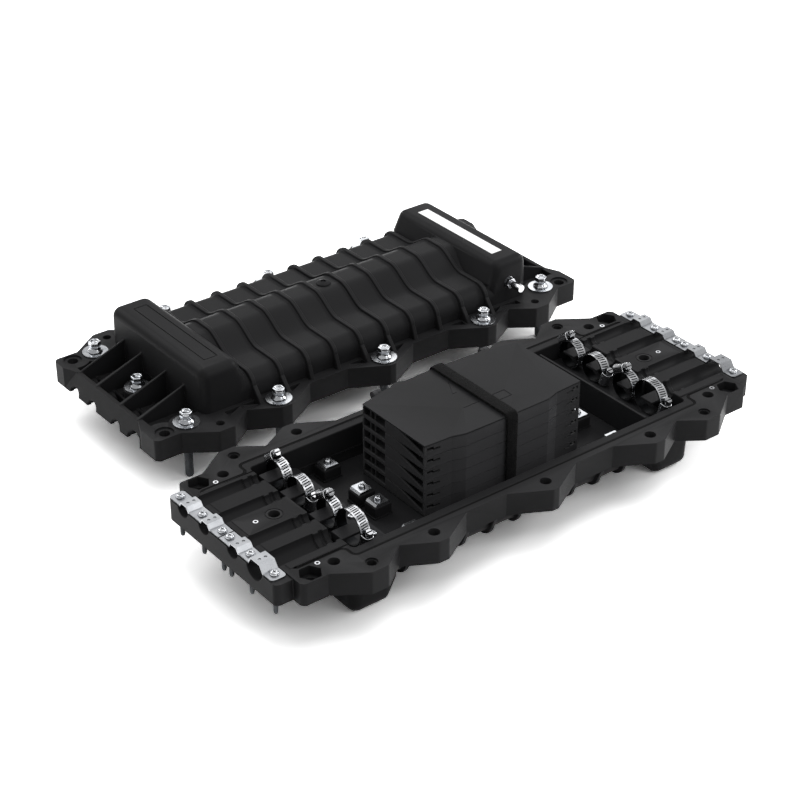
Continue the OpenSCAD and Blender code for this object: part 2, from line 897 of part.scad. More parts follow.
// Arm that rises to the next tray's hinge line and carries its pin
module hinge_arm(foot) {
    translate([knuckle_l / 2 + gap, 0, 0]) {
        translate([arm_l / 2, 0, 0]) rod_x(knuckle_r, arm_l);
        translate([0, -knuckle_r, -foot]) cube([arm_l, 2 * knuckle_r, foot]);
        translate([arm_l / 2 - knuckle_l / 2 - gap, 0, 0]) rod_x(pin_bore - hinge_fit, knuckle_l + arm_l);
    }
}

// The arms stand outside the knuckles on one tray and inside them on the next
module at_arms(inside) {
    for (side = [0, 1]) mirror([side, 0, 0]) translate([knuckle_x, 0, 0]) mirror([inside, 0, 0]) children();
}

// One splice tray, standing on Z = 0; all but the top one carry the arms of the next
module tray(top, inside) {
    difference() {
        union() {
            linear_extrude(tray_floor) tray_outline();
            linear_extrude(tray_h) difference() {
                tray_outline();
                offset(delta = -tray_wall) tray_outline();
            }
            for (x = [-1, 1]) translate([x * drum_x, drum_y, 0]) difference() {
                cylinder(r = drum_r, h = tray_h - tray_floor);
                cylinder(r = drum_r - drum_wall, h = tray_h);
            }
        }
        for (side = [0, 1]) mirror([side, 0, 0]) tray_openings();
    }
    for (x = [-1, 1], y = pin_ys)
        translate([x * (tray_x - pin_in), y, 0]) cylinder(r = pin_r, h = tray_h - tray_floor);
    both_ears() translate([0, hinge_y, tray_h / 2]) hinge_knuckle(tray_h);
    if (!top) at_arms(inside) {
        translate([0, hinge_y, tray_pitch + tray_h / 2]) hinge_arm(tray_pitch);
        translate([knuckle_l / 2 + gap, ear_in, tray_floor])
            cube([arm_l, hinge_y - knuckle_r - ear_in + cut, tray_h / 2]);
    }
}

// What is cut from a tray at its right end: the fibre mouth, the sloped lip and the latch slots
module tray_openings() {
    translate([tray_x - 2 * tray_wall, end_open, end_low])
        cube([4 * tray_wall, tray_end_back - tray_wall - end_open, tray_h]);
    translate([tray_x + tray_wall, 0, 0]) rotate([90, 0, -90]) linear_extrude(3 * tray_wall) polygon([
        [-end_slope_top, tray_h], [-end_slope_foot, end_low], [-end_slope_foot, tray_h + cut],
        [-end_slope_top, tray_h + cut]]);
    translate([tray_x - slot_in - slot_l, -tray_front, tray_h / 2])
        cube([slot_l / 2 + tray_wall / 2, tray_front - tray_corner_y + 2 * tray_wall, slot_h / 2]);
    translate([tray_x - slot_in - slot_l / 2, -tray_front, tray_h / 2 + slot_h / 4])
        cube([slot_l / 2, tray_front - tray_corner_y + 2 * tray_wall, slot_h * 3 / 4]);
}

// Comb that holds the splices, between the two fibre drums of a tray
module splice_holder() {
    pitch = holder_w / holder_slots;
    translate([0, drum_y, tray_floor]) difference() {
        translate([-holder_l / 2, -holder_w / 2, 0]) cube([holder_l, holder_w, holder_h]);
        for (i = [0 : holder_slots - 1])
            translate([-holder_l / 2 - cut, -holder_w / 2 + (i + 1 / 2) * pitch - holder_slot_w / 2,
                holder_h / 3])
                cube([holder_l + 2 * cut, holder_slot_w, holder_h]);
    }
}

// One engraved stroke from the origin to the point v, with square ends
module mark_stroke(v) {
    rotate(atan2(v[1], v[0])) translate([-lid_mark_w / 2, -lid_mark_w / 2, 0])
        cube([norm(v) + lid_mark_w, lid_mark_w, lid_mark_deep + cut]);
}

// Base plate of the stack, with the two arms that carry the lowest tray's hinge
module tray_carrier() {
    color(plastic) at_base() translate([0, 0, -plate_down]) {
        linear_extrude(carrier_t - tray_gap) offset(delta = -tray_wall) tray_outline();
        at_arms(0) {
            translate([knuckle_l / 2 + gap, ear_in - tray_wall, 0])
                cube([arm_l, hinge_y - ear_in + tray_wall + knuckle_r, carrier_t - tray_gap]);
            translate([0, hinge_y, carrier_t + tray_h / 2]) hinge_arm(carrier_t + tray_h / 2);
        }
    }
}

module tray_lid() {
    color(tray_plastic) at_base() translate([0, 0, stack_z - tray_gap]) difference() {
        linear_extrude(lid_t) tray_outline();
        for (line = lid_marks, i = [1 : len(line) - 1])
            translate([line[i][0], line[i][1], lid_t - lid_mark_deep]) mark_stroke(line[i - 1] - line[i]);
    }
}

// Strap round the middle of the stack: over the lid, down the front and the back
module tray_strap() {
    high = stack_z - tray_gap + lid_t;
    color(rubber) at_base() translate([strap_x, 0, 0]) along_x(strap_w) difference() {
        translate([-tray_front - strap_fit - strap_t, -plate_down])
            square([tray_front + tray_back + 2 * (strap_fit + strap_t),
                high + plate_down + strap_fit + strap_t]);
        translate([-tray_front - strap_fit, -plate_down - cut])
            square([tray_front + tray_back + 2 * strap_fit, high + plate_down + strap_fit + cut]);
    }
}

module cover_shell() {
    color(plastic) at_cover() difference() {
        half_solid();
        half_inside();
        both_ends() {
            translate([cavity_x - cut, -land_y - land_fit, -cut])
                cube([land_x - cavity_x + land_fit + cut, 2 * (land_y + land_fit),
                    land_rise + land_fit + cut]);
            port_channels();
        }
        flange_holes();
        both_ends() end_slope();
        for (p = hanger_places)
            translate([p[0], p[1], flange_h - hex_mark_deep])
                cylinder(r = hex_mark_r, h = hex_mark_deep + cut);
        hump_mark();
        translate([0, 0, flange_h + crest_h - wall - cut])
            cylinder(r = plug_stem_r + gap / 3, h = wall + 2 * cut);
        valve_place() translate([0, 0, -3 * hump_wall]) cylinder(r = valve_r + gap / 3, h = 4 * hump_wall);
        valve_place() cylinder(r = valve_collar_r + gap, h = hump_wall);
    }
}

// What is cut from the cover's end wall, so that it leans in towards its top edge; it fades out at both ends
module end_slope() {
    hull() {
        translate([flange_x, lean_ys[0], 0]) cube([cut, lean_ys[1] - lean_ys[0], flange_h + cut]);
        translate([flange_x - end_lean, lean_ys[0] + lean_fade, flange_h])
            cube([end_lean, lean_ys[1] - lean_ys[0] - 2 * lean_fade, cut]);
    }
}

// Engraved outline on the left hump's top
module hump_mark() {
    translate([-mark_x, 0, flange_h + hump_h - mark_deep]) linear_extrude(mark_deep + cut) difference() {
        square([mark_w, mark_l], center = true);
        square([mark_w - 2 * mark_line, mark_l - 2 * mark_line], center = true);
    }
}

module blank_label() {
    color("white") at_cover() translate([mark_x, 0, flange_h + hump_h])
        linear_extrude(label_t) square([label_w, label_l], center = true);
}

module cover_bolts() {
    color(steel) at_cover() for (p = bolt_places) translate([p[0], p[1], 0]) {
        translate([0, 0, tip_h - shank_out])
            cylinder(r = shank_r, h = shank_out + flange_h + washer_t - tip_h - p[2]);
        translate([0, 0, -shank_out]) cylinder(r1 = shank_r - tip_h / 2, r2 = shank_r, h = tip_h);
        translate([0, 0, flange_h + washer_t - p[2]]) {
            cylinder(r1 = collar_r, r2 = collar_top_r, h = collar_h);
            translate([0, 0, collar_h]) difference() {
                cylinder(d = head_af * 2 / sqrt(3), h = head_h, $fn = 6);
                translate([0, 0, head_h - socket_deep]) cylinder(r = socket_r, h = socket_deep + cut);
            }
        }
    }
}

module cover_washers() {
    color(steel) at_cover() for (p = bolt_places) translate([p[0], p[1], flange_h - p[2]]) difference() {
        cylinder(r = washer_r, h = washer_t);
        translate([0, 0, -cut]) cylinder(r = shank_r + gap / 3, h = washer_t + 2 * cut);
    }
}

module dome_plug() {
    color(plastic) at_cover() translate([0, 0, flange_h + crest_h]) difference() {
        union() {
            intersection() {
                cylinder(r = plug_r, h = plug_h);
                translate([0, 0, plug_h - 2 * plug_r]) sphere(r = 2 * plug_r);
            }
            translate([0, 0, -wall]) cylinder(r = plug_stem_r, h = wall + cut);
        }
        translate([0, 0, plug_h - plug_hex_deep])
            cylinder(d = plug_hex * 2 / sqrt(3), h = plug_hex_deep + cut, $fn = 6);
    }
}

// The air valve stands out of the right hump's front wall; its axis becomes Z here
module valve_place() {
    translate([valve_x, -valve_seat, flange_h + valve_h]) rotate([90, 0, 0]) children();
}

module valve_body() {
    color(steel) at_cover() valve_place() difference() {
        union() {
            translate([0, 0, -hump_wall]) cylinder(r = valve_r, h = hump_wall + valve_l);
            cylinder(r = valve_collar_r, h = valve_collar_l);
        }
        translate([0, 0, valve_l / 2]) cylinder(r = valve_r / 3, h = valve_l);
    }
}

module valve_nut() {
    color(steel) at_cover() valve_place() translate([0, 0, valve_collar_l]) difference() {
        cylinder(d = valve_nut_af * 2 / sqrt(3), h = valve_nut_l, $fn = 6);
        translate([0, 0, -cut]) cylinder(r = valve_r, h = valve_nut_l + 2 * cut);
    }
}

module valve_cap() {
    color(steel) at_cover() valve_place() translate([0, 0, valve_l - valve_cap_l + gap]) difference() {
        cylinder(r = valve_cap_r, h = valve_cap_l + ring_w);
        translate([0, 0, -cut]) cylinder(r = valve_r + hinge_fit, h = valve_cap_l + cut);
    }
}

base_shell();
mounting_plate();
seal_gasket();
threaded_inserts();

for (side = ["left", "right"]) {
    flip = side == "left" ? 1 : 0;
    color(plastic) at_base() mirror([flip, 0, 0]) clamp_bracket([wall_top_down, shelf_down][flip]);
    color(steel) at_base() mirror([flip, 0, 0]) bracket_screws();
    color(steel) at_saddles() mirror([flip, 0, 0]) saddle(arch_half, arch_rise);
    color(steel) at_saddles() mirror([flip, 0, 0]) mirror([0, 1, 0]) saddle(big_arch_half, big_arch_rise);
    color(steel) at_saddles() mirror([flip, 0, 0]) saddle_screws();
    color(plastic) at_base() mirror([flip, 0, 0]) anchor_places() anchor_block();
    color(steel) at_base() mirror([flip, 0, 0]) anchor_places() anchor_plate();
    color(steel) at_base() mirror([flip, 0, 0]) anchor_places() anchor_screw();
    for (i = [0 : 3]) {
        color(steel) at_base() mirror([flip, 0, 0]) clamp_place(i)
                hose_clamp(clamp_rs[i], housing_angles[i]);
        color(steel) at_base() mirror([flip, 0, 0]) clamp_place(i)
                worm_screw(clamp_rs[i], housing_angles[i]);
    }
}

tray_carrier();
for (i = [1 : tray_count]) {
    lift = tray_z + (i - 1) * tray_pitch;
    color(tray_plastic) at_base() translate([0, 0, lift]) tray(i == tray_count, i % 2);
    color(rubber) at_base() translate([0, 0, lift]) splice_holder();
}
tray_lid();
tray_strap();

cover_shell();
cover_bolts();
cover_washers();
dome_plug();
valve_body();
valve_nut();
valve_cap();
blank_label();
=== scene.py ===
import math

import bmesh
import bpy
import numpy as np
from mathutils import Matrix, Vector


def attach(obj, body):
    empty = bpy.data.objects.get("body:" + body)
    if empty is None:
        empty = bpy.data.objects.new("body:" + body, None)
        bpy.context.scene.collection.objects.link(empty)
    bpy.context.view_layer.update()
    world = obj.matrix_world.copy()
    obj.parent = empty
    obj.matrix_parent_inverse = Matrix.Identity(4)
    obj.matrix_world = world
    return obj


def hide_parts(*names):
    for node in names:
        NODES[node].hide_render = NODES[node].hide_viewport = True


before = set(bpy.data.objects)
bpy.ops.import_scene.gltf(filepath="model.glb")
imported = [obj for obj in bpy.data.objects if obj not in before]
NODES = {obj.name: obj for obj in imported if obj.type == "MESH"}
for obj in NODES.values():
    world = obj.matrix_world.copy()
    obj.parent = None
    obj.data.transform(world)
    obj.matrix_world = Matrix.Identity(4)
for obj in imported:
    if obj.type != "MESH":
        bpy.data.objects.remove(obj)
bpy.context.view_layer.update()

# Camera, floor and lights
# The camera looks down on the closure from the front left, through a long lens.
# The closure stands on a white sheet under five soft studio lamps.
CAMERA_TARGET = Vector((-0.0210, -0.0450, 0.0625))
CAMERA_AZIMUTH, CAMERA_ELEVATION, CAMERA_DISTANCE = -37.783, 31.235, 1.7242
CAMERA_LENS, CAMERA_SENSOR, CAMERA_NEAR, CAMERA_FAR = 90.26, 36.0, 0.05, 20.0
FLOOR_REACH, FLOOR_WHITE, FLOOR_GREY = 6, 1.9, 0.1
AIR_LIGHT, AIR_SEEN = 0.5, 1.0


def linear(hex_colour, alpha=1.0):
    """Linear RGBA of an sRGB hex colour: each channel c is c / 12.92 below 0.04045, and otherwise
    ((c + 0.055) / 1.055) to the power 2.4."""
    c = np.array([int(hex_colour[i:i + 2], 16) / 255 for i in (1, 3, 5)])
    c = np.where(c <= 0.04045, c / 12.92, ((c + 0.055) / 1.055) ** 2.4)
    return (*c.tolist(), alpha)


def node(tree, kind, settings=None, **links):
    """Adds one shader node: settings are its properties; links are its inputs, as values or sockets."""
    n = tree.nodes.new(kind)
    for key, value in (settings or {}).items():
        setattr(n, key, value)
    for key, value in links.items():
        socket = n.inputs[int(key[1:])] if key[1:].isdigit() else n.inputs[key.replace("_", " ")]
        if isinstance(value, bpy.types.NodeSocket):
            tree.links.new(value, socket)
        else:
            socket.default_value = value
    return n


azimuth, elevation = math.radians(CAMERA_AZIMUTH), math.radians(CAMERA_ELEVATION)
level = Vector((-math.sin(azimuth), math.cos(azimuth), 0))
look = level * math.cos(elevation) - Vector((0, 0, math.sin(elevation)))
camera = bpy.data.objects.new("camera", bpy.data.cameras.new("camera"))
camera.data.lens, camera.data.sensor_width = CAMERA_LENS, CAMERA_SENSOR
camera.data.clip_start, camera.data.clip_end = CAMERA_NEAR, CAMERA_FAR
camera.location = CAMERA_TARGET - look * CAMERA_DISTANCE
camera.rotation_euler = look.to_track_quat("-Z", "Y").to_euler()
bpy.context.collection.objects.link(camera)
bpy.context.scene.camera = camera
bpy.context.scene.view_settings.view_transform = "Standard"

floor_mesh = bpy.data.meshes.new("studio_floor")
floor_corners = [(x * FLOOR_REACH, y * FLOOR_REACH, 0) for x, y in ((-1, -1), (1, -1), (1, 1), (-1, 1))]
floor_mesh.from_pydata(floor_corners, [], [(0, 1, 2, 3)])
floor = bpy.data.objects.new("studio_floor", floor_mesh)
bpy.context.collection.objects.link(floor)
floor_paint = bpy.data.materials.new("white_paper_sheet")
floor_paint.use_nodes = True
tree = floor_paint.node_tree
tree.nodes.clear()
ray = node(tree, "ShaderNodeLightPath")
first = node(tree, "ShaderNodeMath", {"operation": "ADD"},
             _0=ray.outputs["Is Camera Ray"], _1=ray.outputs["Is Glossy Ray"])
direct = node(tree, "ShaderNodeMath", {"operation": "ADD"},
              _0=first.outputs[0], _1=ray.outputs["Is Transmission Ray"])
white = node(tree, "ShaderNodeMix", {"data_type": "RGBA"}, _0=direct.outputs[0],
             _6=(FLOOR_GREY, FLOOR_GREY, FLOOR_GREY, 1), _7=(FLOOR_WHITE, FLOOR_WHITE, FLOOR_WHITE, 1))
matt_sheet = node(tree, "ShaderNodeBsdfDiffuse", Color=white.outputs[2])
node(tree, "ShaderNodeOutputMaterial", Surface=matt_sheet.outputs[0])
floor_mesh.materials.append(floor_paint)

world = bpy.data.worlds.new("studio_air")
world.use_nodes = True
bpy.context.scene.world = world
tree = world.node_tree
tree.nodes.clear()
ray = node(tree, "ShaderNodeLightPath")
soft = node(tree, "ShaderNodeBackground", Color=(1, 1, 1, 1), Strength=AIR_LIGHT)
white = node(tree, "ShaderNodeBackground", Color=(1, 1, 1, 1), Strength=AIR_SEEN)
seen = node(tree, "ShaderNodeMixShader",
            _0=ray.outputs["Is Camera Ray"], _1=soft.outputs[0], _2=white.outputs[0])
node(tree, "ShaderNodeOutputWorld", Surface=seen.outputs[0])


def lamp(name, place, aim, size, watts):
    """A square area lamp at place that points at aim."""
    data = bpy.data.lights.new(name, "AREA")
    data.shape, data.size, data.energy = "SQUARE", size, watts
    obj = bpy.data.objects.new(name, data)
    obj.location = place
    obj.rotation_euler = (Vector(aim) - Vector(place)).to_track_quat("-Z", "Y").to_euler()
    bpy.context.collection.objects.link(obj)


lamp("soft_box_back", (-0.5, 1.9, 1.7), (0, 0, 0.03), 1.6, 22)
lamp("soft_box_above", (0.3, 0.0, 2.0), (0, 0, 0.03), 1.5, 11)
lamp("soft_box_right", (1.8, -0.5, 1.0), (0, 0, 0.05), 0.6, 17)
lamp("soft_box_front", (0.5, -1.8, 1.5), (0, 0, 0.05), 1.0, 8)
lamp("soft_box_far_right", (1.15, 1.45, 1.25), (0, 0, 0.03), 1.1, 5)


# Shells
# The base and the cover are injection-moulded in black glass-filled polypropylene.
# Their faces carry a fine spark-eroded texture, and their edges are rounded by up to a millimetre.
SHELL_BLACK, SHELL_EDGE = "#212122", "#383839"
SHELL_ROUND = 0.001
SHARP_ANGLE, SOFT_ANGLE, SAME_PLANE, FLAT_SHARE = 30, 20, 0.5, 0.5
RUN_ANGLE, RUN_PASSES, ROUND_SHARE, ROUND_STEPS = 35, 12, 0.35, 2
MERGE_REACH = 1e-6
PLASTIC_IOR, CLOUD_SCALE, CLOUD_SHARE, EDGE_SHARE = 1.14, 18.0, 0.12, 0.5
GRAIN_RANGE, GRAIN_STRENGTH = (0.3, 0.7), 0.35


def moulded(name, colour, edge_wear_and_highlight, roughness, grain_mm, bump_mm):
    """Moulded plastic: a colour with a faint cloud, paler along convex edges as wear and as a painted
    highlight, and a fine grain in the bump.
    """
    mat = bpy.data.materials.new(name)
    mat.use_nodes = True
    t = mat.node_tree
    skin = t.nodes["Principled BSDF"]
    place = node(t, "ShaderNodeTexCoord").outputs["Object"]
    cloud = node(t, "ShaderNodeTexNoise", Vector=place, Scale=CLOUD_SCALE, Detail=3.0)
    ridge = node(t, "ShaderNodeNewGeometry").outputs["Pointiness"]
    # Convex edges found by pointiness are paled: partly wear, partly a painted edge highlight.
    rim = node(t, "ShaderNodeMapRange", Value=ridge, From_Min=0.52, From_Max=0.62, To_Max=EDGE_SHARE)
    tone = node(t, "ShaderNodeMapRange", Value=cloud.outputs[0],
                From_Min=GRAIN_RANGE[0], From_Max=GRAIN_RANGE[1], To_Min=0.0, To_Max=CLOUD_SHARE)
    share = node(t, "ShaderNodeMath", {"operation": "ADD"}, _0=rim.outputs[0], _1=tone.outputs[0])
    paint = node(t, "ShaderNodeMix", {"data_type": "RGBA"},
                 _0=share.outputs[0], _6=linear(colour), _7=linear(edge_wear_and_highlight))
    t.links.new(paint.outputs[2], skin.inputs["Base Color"])
    grain = node(t, "ShaderNodeTexNoise", Vector=place, Scale=1000.0 / grain_mm, Detail=2.0)
    matt = node(t, "ShaderNodeMapRange", Value=grain.outputs[0],
                From_Min=GRAIN_RANGE[0], From_Max=GRAIN_RANGE[1],
                To_Min=roughness - 0.05, To_Max=roughness + 0.08)
    t.links.new(matt.outputs[0], skin.inputs["Roughness"])
    relief = node(t, "ShaderNodeBump",
                  Strength=GRAIN_STRENGTH, Distance=bump_mm / 1000, Height=grain.outputs[0])
    t.links.new(relief.outputs[0], skin.inputs["Normal"])
    skin.inputs["IOR"].default_value = PLASTIC_IOR
    return mat


def is_soft(edge):
    """Whether the faces on both sides of an edge are shaded as one surface."""
    return len(edge.link_faces) == 2 and edge.calc_face_angle() < math.radians(SOFT_ANGLE)


def flat_areas(work):
    """The flat areas of a mesh: a dictionary from each face to its area, as (corners, whether it has holes,
    whether less than half of its rim runs smoothly on into other areas)."""
    area_of = {}
    for first in work.faces:
        if first in area_of:
            continue
        members, fresh = {first}, [first]
        while fresh:
            for edge in fresh.pop().edges:
                if len(edge.link_faces) == 2 and edge.calc_face_angle() < math.radians(SAME_PLANE):
                    near = {face for face in edge.link_faces if face not in members
                            and face.normal.angle(first.normal, 0.0) < math.radians(SAME_PLANE)}
                    members |= near
                    fresh.extend(near)
        corners = {vert for face in members for vert in face.verts}
        edges = {edge for face in members for edge in face.edges}
        holed = len(corners) - len(edges) + len(members) < 1
        rim = [edge for edge in edges if len(set(edge.link_faces) & members) == 1]
        soft = sum(edge.calc_length() for edge in rim if is_soft(edge))
        plain = soft < FLAT_SHARE * sum(edge.calc_length() for edge in rim)
        for face in members:
            area_of[face] = (corners, holed, plain)
    return area_of


def room(edge, area):
    """How far a flat area reaches from the line of one of its edges, or none where the area has holes."""
    start, along = edge.verts[0].co, (edge.verts[1].co - edge.verts[0].co).normalized()
    return 0.0 if area[1] else max((vert.co - start).cross(along).length for vert in area[0])


def in_line(edge, near, vert):
    """Whether two edges run on into each other at the corner that they share."""
    come, leave = vert.co - edge.other_vert(vert).co, near.other_vert(vert).co - vert.co
    return come.angle(leave, math.pi) < math.radians(RUN_ANGLE)


def rounded_copy(node_name, piece_name, width, body, material):
    """A piece with the CAD node's own faces, its doubles merged. Its edges are rounded by width, less beside
    a narrow area and along the edges that run on from there, and not beside an area with holes."""
    mesh = NODES[node_name].data.copy()
    mesh.name = piece_name
    work = bmesh.new()
    work.from_mesh(mesh)
    bmesh.ops.remove_doubles(work, verts=work.verts, dist=MERGE_REACH)
    share = work.edges.layers.float.new("bevel_weight_edge")
    area_of = flat_areas(work)
    limit = {edge: min(room(edge, area_of[face]) for face in edge.link_faces) for edge in work.edges
             if len(edge.link_faces) == 2 and edge.calc_face_angle() > math.radians(SHARP_ANGLE)}
    for _ in range(RUN_PASSES):
        for edge in limit:
            limit[edge] = min(limit[near] for vert in edge.verts for near in vert.link_edges
                              if near in limit and (near is edge or in_line(edge, near, vert)))
    for edge in work.edges:
        edge.smooth = is_soft(edge)
        edge[share] = min(1.0, ROUND_SHARE * limit.get(edge, 0.0) / width)
    for face in work.faces:
        face.smooth = not area_of[face][2]
    work.to_mesh(mesh)
    work.free()
    obj = bpy.data.objects.new(piece_name, mesh)
    bpy.context.collection.objects.link(obj)
    bevel = obj.modifiers.new("edge_round", "BEVEL")
    bevel.width, bevel.segments, bevel.limit_method = width, ROUND_STEPS, "WEIGHT"
    bevel.use_clamp_overlap, bevel.loop_slide = False, False
    bevel.harden_normals = True
    mesh.materials.clear()
    mesh.materials.append(material)
    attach(obj, body)
    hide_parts(node_name)
    return obj


shell_plastic = moulded("spark_textured_polypropylene", SHELL_BLACK, SHELL_EDGE, 0.42, 0.9, 0.02)
for half, body in (("base_shell", "base"), ("cover_shell", "cover")):
    rounded_copy(half, half + "_moulding", SHELL_ROUND, body, shell_plastic)


# Inner mouldings
# The mounting plate, the clamp brackets, the anchor blocks and the carrier of the trays are smoother
# black mouldings that are screwed inside the base. The plug on the dome is moulded like them.
INNER_BLACK, INNER_EDGE = "#202021", "#343436"
INNER_ROUND = 0.0005

inner_plastic = moulded("smooth_moulded_polypropylene", INNER_BLACK, INNER_EDGE, 0.36, 0.6, 0.01)
for piece in ("mounting_plate", "left_clamp_bracket", "right_clamp_bracket",
              "left_anchor_blocks", "right_anchor_blocks", "tray_carrier"):
    rounded_copy(piece, piece + "_moulding", INNER_ROUND, "base", inner_plastic)
rounded_copy("dome_plug", "dome_plug_moulding", INNER_ROUND, "cover", inner_plastic)


# Splice trays
# Six thin satin trays of black ABS are hinged one on the other at the back.
# Each holds a comb for the splices, and a lid is clipped on the top one.
TRAY_BLACK, TRAY_EDGE = "#373738", "#4c4c4e"
TRAY_ROUND = 0.0003

tray_plastic = moulded("satin_moulded_abs", TRAY_BLACK, TRAY_EDGE, 0.38, 0.5, 0.006)
TRAY_BODIES = ["base"] + [f"tray_{k}_body" for k in range(2, 7)]
for k, body in enumerate(TRAY_BODIES, 1):
    rounded_copy(f"tray_{k}", f"tray_{k}_moulding", TRAY_ROUND, body, tray_plastic)
    rounded_copy(f"splice_holder_{k}", f"splice_holder_{k}_comb", TRAY_ROUND, body, inner_plastic)
rounded_copy("tray_lid", "tray_lid_moulding", TRAY_ROUND, "tray_6_body", inner_plastic)


# Steel hardware
# The saddles over the ports, the anchor plates and the washers are pressed from zinc-plated steel,
# with painted shade in the hollows. Their edges are broken by a quarter of a millimetre.
ZINC, ZINC_DULL, SADDLE, SADDLE_DULL = "#d3d5d8", "#a9acb1", "#adafb2", "#929498"
STEEL_ROUND, METAL_CLOUD_SCALE, AO_SAMPLES = 0.00025, 60.0, 8


def plated(name, colour, dull, roughness, grain_mm, stretch=(1, 1, 1), hollow_shade="#3a3b3d", shade_reach_mm=2.5):
    """Plated metal: two near tones in a slow cloud, with painted shade in hollows narrower than the shade
    reach, and a fine grain of the stated spacing in the roughness only."""
    mat = bpy.data.materials.new(name)
    mat.use_nodes = True
    t = mat.node_tree
    skin = t.nodes["Principled BSDF"]
    place = node(t, "ShaderNodeTexCoord").outputs["Object"]
    cloud = node(t, "ShaderNodeTexNoise", Vector=place, Scale=METAL_CLOUD_SCALE, Detail=2.0)
    tone = node(t, "ShaderNodeMapRange", Value=cloud.outputs[0], From_Min=0.35, From_Max=0.8)
    clean = node(t, "ShaderNodeMix", {"data_type": "RGBA"},
                 _0=tone.outputs[0], _6=linear(colour), _7=linear(dull))
    # Ambient occlusion darkens the colour in the hollows: painted shade.
    depth = node(t, "ShaderNodeAmbientOcclusion", {"samples": AO_SAMPLES}, Distance=shade_reach_mm / 1000)
    painted_shade_share = node(t, "ShaderNodeMapRange", Value=depth.outputs["AO"], From_Min=0.35, From_Max=0.85)
    paint = node(t, "ShaderNodeMix", {"data_type": "RGBA"},
                 _0=painted_shade_share.outputs[0], _6=linear(hollow_shade), _7=clean.outputs[2])
    t.links.new(paint.outputs[2], skin.inputs["Base Color"])
    drawn = node(t, "ShaderNodeMapping", Vector=place, Scale=stretch)
    grain = node(t, "ShaderNodeTexNoise", Vector=drawn.outputs[0], Scale=1000.0 / grain_mm, Detail=1.0)
    matt = node(t, "ShaderNodeMapRange", Value=grain.outputs[0],
                From_Min=GRAIN_RANGE[0], From_Max=GRAIN_RANGE[1],
                To_Min=roughness - 0.03, To_Max=roughness + 0.05)
    t.links.new(matt.outputs[0], skin.inputs["Roughness"])
    skin.inputs["Metallic"].default_value = 1.0
    return mat


zinc_steel = plated("bright_zinc_plated_steel", ZINC, ZINC_DULL, 0.2, 0.5)
saddle_steel = plated("rolled_zinc_plated_strip", SADDLE, SADDLE_DULL, 0.3, 0.5)
for side in ("left", "right"):
    for piece in ("rear_saddle", "front_saddle"):
        rounded_copy(f"{side}_{piece}", f"{side}_{piece}_steel", STEEL_ROUND, "base", saddle_steel)
    rounded_copy(f"{side}_anchor_plates", f"{side}_anchor_plates_steel", STEEL_ROUND, "base", zinc_steel)
rounded_copy("cover_washers", "cover_washers_steel", STEEL_ROUND, "cover", zinc_steel)


# Screws
# The screws of the saddles, the anchor blocks and the brackets have a low domed head with a tapered cross
# recess, and a rolled thread down to the tip.
HEAD_HIGH = {"saddle_screws": 0.0026, "anchor_screws": 0.0026, "bracket_screws": 0.0022}
CROSS_REACH, CROSS_HALF, CROSS_DEEP, CROSS_TAPER = 0.46, 0.12, 0.55, 0.1
SHANK_RADIUS, THREAD_RISE, THREAD_STEP = 0.0021, 0.00032, 0.0011
HEAD_RINGS, HEAD_SPOKES, TURN_POINTS, ROWS_PER_STEP, TIP_SHARE = 26, 73, 25, 6, 0.72

# The threads take a far darker copy of the zinc than the heads: painted shade, deeper still in the grooves.
thread_steel = plated("rolled_zinc_plated_thread", "#484a4c", "#343638", 0.3, 0.3,
                      hollow_shade="#151516", shade_reach_mm=0.8)


def sheet_faces(rows, cols, keep=None):
    """Quads of a grid of rows x cols points, row by row; keep leaves out the quads where it is False."""
    r = np.arange(rows - 1)[:, None]
    c = np.arange(cols - 1)[None, :]
    low, high = r * cols + c, (r + 1) * cols + c
    quads = np.stack([low, low + 1, high + 1, high], axis=-1)
    if keep is not None:
        return quads[keep]
    return quads.reshape(-1, 4)


def piece_from(name, points, quads, material, body, *stands_for, smooth=True):
    """A mesh piece from an array of points in metres and an array of quads, riding on body."""
    mesh = bpy.data.meshes.new(name)
    mesh.from_pydata(points.reshape(-1, 3).tolist(), [], quads.tolist())
    mesh.materials.append(material)
    mesh.polygons.foreach_set("use_smooth", [smooth] * len(mesh.polygons))
    mesh.validate()
    obj = bpy.data.objects.new(name, mesh)
    bpy.context.collection.objects.link(obj)
    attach(obj, body)
    if stands_for:
        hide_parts(*stands_for)
    return obj


def separate_boxes(node_name):
    """Lowest and highest corner of each separate solid of a CAD node, as rows of (low, high)."""
    work = bmesh.new()
    work.from_mesh(NODES[node_name].data)
    work.transform(NODES[node_name].matrix_world)
    bmesh.ops.remove_doubles(work, verts=work.verts, dist=MERGE_REACH)
    left, boxes = set(work.verts), []
    while left:
        open_ends, solid = [left.pop()], []
        while open_ends:
            vert = open_ends.pop()
            solid.append(tuple(vert.co))
            near = {edge.other_vert(vert) for edge in vert.link_edges} & left
            left -= near
            open_ends.extend(near)
        solid = np.array(solid)
        boxes.append((solid.min(axis=0), solid.max(axis=0)))
    work.free()
    return boxes


def screw_head(radius, high):
    """Polar grid: the dome's height is high * (1 - share to the power 5) to the power 0.5 at a share of the
    radius, less the cross: its depth grows from the edge of an arm, by the nearer of its side and its end."""
    share = np.sin(np.linspace(0, math.pi / 2, HEAD_RINGS))[:, None]
    turn = np.linspace(0, 2 * math.pi, HEAD_SPOKES)[None, :]
    x, y = share * np.cos(turn), share * np.sin(turn)
    side = CROSS_HALF - np.minimum(np.abs(x), np.abs(y))
    end = CROSS_REACH - np.maximum(np.abs(x), np.abs(y))
    sunk = np.clip(np.minimum(side, end) / CROSS_TAPER, 0, 1) * CROSS_DEEP
    z = high * (np.sqrt(np.clip(1 - share ** 5, 0, 1)) - sunk)
    points = np.stack(np.broadcast_arrays(radius * x, radius * y, z), axis=-1)
    return points, sheet_faces(HEAD_RINGS, HEAD_SPOKES)


